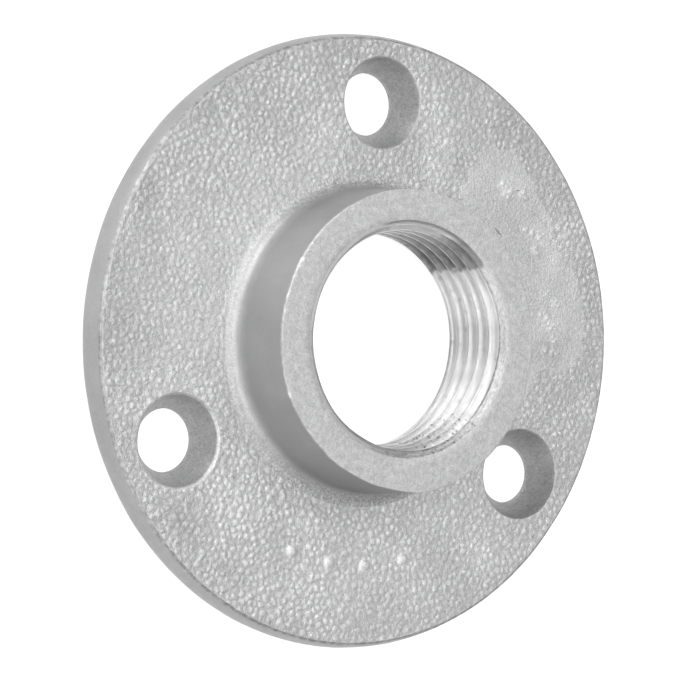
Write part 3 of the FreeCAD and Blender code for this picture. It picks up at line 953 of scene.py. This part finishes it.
def cut_thread():
    """The bright cut thread: painted shade at the upper right, a painted highlight and pits at the lower
    right, and a rough mouth with painted shade on the right.
    """
    cut = Finish("cut_thread", 1.0)
    z = cut.z
    crest = cut.ranged(z, 0.0, HUB_TOP, CREST - HUB_TOP * CREST_TAPER, CREST)
    depth = cut.math("SUBTRACT", cut.radius(), crest)
    degrees = cut.plus(cut.azimuth(), cut.mottle(0.9, 3.0, -1.4, 1.4))

    # The painted shade at the upper right: its upper end fades out along the thread, and it is thinner
    # at the mouth
    later = cut.times(cut.ranged(z, 9.0, 12.5, 0.0, 9.0), cut.falling(z, 13.5, 14.5))
    fading = cut.falling(cut.plus(degrees, later), 56.0, 92.0)
    in_painted_sector = cut.times(cut.rising(degrees, 44.0, 46.5), fading)
    lip = cut.falling(cut.plus(z, cut.ranged(degrees, 60.0, 78.0, 0.0, 2.2)), 16.1, 16.8)
    in_painted_sector = cut.times(in_painted_sector, lip, cut.ranged(z, 14.4, 15.4, 1.0, 0.55))
    streak = cut.mottle(0.9, 3.0, 0.36, 0.62, 0.15, (1.0, 1.0, 4.0))
    painted_sector_shade = cut.one_less(cut.times(in_painted_sector, cut.one_less(streak)))

    # Painted shade: the roots are darker in the painted shade at the upper right, and the crests' edges
    # a little everywhere
    painted_deep_shade = cut.factor(in_painted_sector, 0.5)
    in_root = cut.rising(depth, 0.5, 1.3)
    root = cut.one_less(cut.times(in_root, cut.one_less(painted_deep_shade)))
    painted_crest_shade = cut.ranged(depth, 0.05, 0.6, 0.82, 1.0)

    # The mouth: worn and rough on the right, with painted shade there; painted light at the top with a
    # painted shade line along its edge; painted shade by the lip on the left
    mouth = cut.rising(cut.plus(z, cut.mottle(1.4, 3.0, -0.25, 0.25, 0.15)), 15.1, 15.6)
    mouth = cut.times(
        mouth, cut.falling(degrees, 20.0, 60.0), cut.rising(degrees, -112.0, -95.0))
    lit_mouth = cut.times(cut.rising(z, 14.3, 14.8), cut.rising(degrees, 62.0, 74.0))
    painted_top_edge_shade = cut.times(cut.span(degrees, 66.0, 106.0, 10.0), cut.rising(z, 15.88, 15.98))
    near_side = cut.most(cut.falling(degrees, -115.0, -95.0), cut.rising(degrees, 95.0, 115.0))
    painted_shade_near_lip = cut.times(near_side, cut.falling(z, 15.45, 15.7), cut.rising(z, 14.8, 15.0))

    # Painted light and shade on the bore's sides: a painted highlight at the lower right and painted
    # shade at the right; pits low in it, and streaks along the thread
    painted_low_side = cut.times(cut.rising(degrees, -86.0, -76.0), cut.falling(degrees, -42.0, -14.0))
    painted_highlight_side = cut.times(painted_low_side, cut.ranged(z, 9.5, 12.0, 1.0, 0.3))
    painted_shade_right = cut.span(degrees, 0.0, 12.0, 8.0)
    pitted = cut.times(cut.span(degrees, -72.0, -40.0, 4.0), cut.rising(z, 7.0, 8.5))
    cluster = cut.rising(cut.noise(0.5), 0.4, 0.52)
    pits = cut.times(cut.specks(1.35, 0.33), cluster, pitted)
    rough_parts = cut.most(pitted, mouth)
    scored = cut.mottle(1.8, 2.0, -0.16, 0.16, 0.15, (1.0, 1.0, 2.2))
    scored = cut.math("MULTIPLY_ADD", scored, rough_parts, 1.0)
    drag = cut.mottle(0.5, 3.0, 0.94, 1.05, 0.2, (1.0, 1.0, 6.0))

    shade = cut.times(
        root, painted_crest_shade, cut.factor(lit_mouth, 1.3), cut.factor(painted_top_edge_shade, 0.5), painted_sector_shade,
        cut.factor(painted_highlight_side, 1.38), cut.factor(painted_shade_right, 0.82), cut.factor(painted_shade_near_lip, 0.6),
        cut.factor(pits, 0.42), scored, cut.factor(mouth, 0.72), drag,
        cut.factor(cut.specks(0.5, 0.26, 0.9), 0.74))
    cut.colour(shade, 0.84, 0.002)
    cut.roughness(cut.math("MULTIPLY_ADD", mouth, 0.1, cut.mottle(0.8, 3.0, 0.42, 0.54, 0.15)))
    cut.bump(cut.noise(0.6, 3.0, (1.0, 1.0, 5.0)), 0.03)
    cut.bump(cut.noise(2.6), 0.05, cut.ranged(rough_parts, 0.0, 1.0, 0.15, 1.0))
    return cut.material


def countersink():
    drilled = Finish("countersink", ZINC_METALLIC)
    cloud = drilled.mottle(0.7, 4.0, 0.94, 1.06)
    fleck = drilled.mottle(3.8, 2.0, 0.82, 1.18)
    patchy = drilled.mottle(1.7, 2.0, 0.92, 1.08)
    # The sink's top edge lighter, most on the left: worn metal with a painted highlight
    edge_most_left = drilled.ranged(drilled.x, -14.0, 4.0, 1.0, 0.25)
    worn_and_highlit_edge = drilled.times(drilled.rising(drilled.z, 4.55, 4.8), edge_most_left)
    drilled.colour(drilled.times(cloud, fleck, patchy, drilled.factor(worn_and_highlit_edge, 1.6)), 0.40, 0.003)
    drilled.roughness(drilled.mottle(1.4, 3.0, 0.42, 0.55, 0.15))
    drilled.bump(drilled.noise(2.8), 0.03)
    drilled.bump(drilled.noise(4.6), 0.03)
    return drilled.material


def back_face():
    skin = Finish("back_face", ZINC_METALLIC)
    cloud = skin.mottle(0.15, 4.0, 0.93, 1.05)
    fleck = skin.ranged(skin.noise(2.4, 3.0), 0.35, 0.7, 0.95, 1.06)
    skin.colour(skin.times(cloud, fleck), 0.60)
    skin.roughness(skin.mottle(1.0, 3.0, 0.38, 0.5, 0.15))
    skin.bump(skin.noise(1.2, 3.0), 0.05)
    skin.bump(skin.noise(4.0), 0.02)
    return skin.material


# The finishes come in the order of the mesh's zones
for make in (
    cast_face, smooth_face, cast_rim, hub_side, end_face, cut_thread, countersink, back_face
):
    mesh.materials.append(make())
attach(casting, "root")
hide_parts("floor_flange")

# Floor: pale, seen as white, and keeping the soft shadow
FLOOR_SIZE = 8.0
FLOOR_BELOW = 0.0001
FLOOR_TONE = 0.3
FLOOR_GLOW = 0.88
bpy.ops.mesh.primitive_plane_add(size=FLOOR_SIZE, location=(0, 0, -FLOOR_BELOW))
floor = bpy.context.object
floor.name = "floor"
floor_mat = bpy.data.materials.new("pale_floor")
floor_mat.use_nodes = True
nodes, links = floor_mat.node_tree.nodes, floor_mat.node_tree.links
nodes.clear()
output = nodes.new("ShaderNodeOutputMaterial")
diffuse = nodes.new("ShaderNodeBsdfDiffuse")
diffuse.inputs["Color"].default_value = (FLOOR_TONE, FLOOR_TONE, FLOOR_TONE, 1)
glow = nodes.new("ShaderNodeEmission")
glow.inputs["Color"].default_value = (1, 1, 1, 1)
path = nodes.new("ShaderNodeLightPath")
seen = path.outputs["Is Camera Ray"]
for ray in ("Is Glossy Ray", "Is Transmission Ray"):
    either = nodes.new("ShaderNodeMath")
    either.operation = "MAXIMUM"
    links.new(seen, either.inputs[0])
    links.new(path.outputs[ray], either.inputs[1])
    seen = either.outputs["Value"]
strength = nodes.new("ShaderNodeMath")
strength.operation = "MULTIPLY"
strength.inputs[1].default_value = FLOOR_GLOW
links.new(seen, strength.inputs[0])
links.new(strength.outputs["Value"], glow.inputs["Strength"])
both = nodes.new("ShaderNodeAddShader")
links.new(diffuse.outputs["BSDF"], both.inputs[0])
links.new(glow.outputs["Emission"], both.inputs[1])
links.new(both.outputs["Shader"], output.inputs["Surface"])
floor.data.materials.append(floor_mat)

# A dim white surround
SURROUND_LIGHT = 0.35
world = bpy.data.worlds.new("studio")
bpy.context.scene.world = world
world.use_nodes = True
world.node_tree.nodes["Background"].inputs["Color"].default_value = (1, 1, 1, 1)
world.node_tree.nodes["Background"].inputs["Strength"].default_value = SURROUND_LIGHT

# Soft lamps all round, most of their light from the photograph's left: name, degrees from
# straight above, degrees round, and power
LAMP_DISTANCE = 2.8
LAMP_SIZE = 1.2
LAMPS = [
    ("overhead", 0, 0, 20.4), ("above_right", 30, 60, 8.0), ("above_upper_left", 30, 120, 12.4),
    ("left", 58, 180, 17.6), ("lower_left", 58, 225, 10.4), ("low_upper_left", 78, 135, 25.6),
    ("low_lower_left", 78, 225, 7.6),
]
for name, from_above, around, power in LAMPS:
    polar = math.radians(from_above)
    azimuth = math.radians(around)
    across = math.sin(polar)
    place = Vector((across * math.cos(azimuth), across * math.sin(azimuth), math.cos(polar)))
    place *= LAMP_DISTANCE
    data = bpy.data.lights.new(name, "AREA")
    data.shape = "SQUARE"
    data.size = LAMP_SIZE
    data.energy = power
    lamp = bpy.data.objects.new(name, data)
    lamp.location = place
    lamp.rotation_euler = (-place).to_track_quat("-Z", "Y").to_euler()
    lamp.visible_camera = False
    bpy.context.scene.collection.objects.link(lamp)

# Camera: the photograph's viewing angle, its lens as a focal length in the picture's pixels
CAMERA_AT = Vector((-304.328, -26.393, 456.289)) * MM
RIGHT = Vector((0.827572, 0.080951, 0.555492))
DOWN = Vector((0.094076, -0.995553, 0.004927))
AHEAD = Vector((0.553421, 0.048181, -0.831507))
SENSOR_WIDTH = 36.0
FOCAL_PIXELS = 3900
PICTURE_PIXELS = 680
cam_data = bpy.data.cameras.new("camera")
cam_data.sensor_width = SENSOR_WIDTH
cam_data.lens = FOCAL_PIXELS * SENSOR_WIDTH / PICTURE_PIXELS
cam_data.clip_start = 0.01
cam_data.clip_end = 20.0
camera = bpy.data.objects.new("camera", cam_data)
facing = Matrix((RIGHT, -DOWN, -AHEAD)).transposed()
camera.matrix_world = Matrix.Translation(CAMERA_AT) @ facing.to_4x4()
bpy.context.scene.collection.objects.link(camera)
bpy.context.scene.camera = camera
bpy.context.scene.view_settings.view_transform = "Standard"
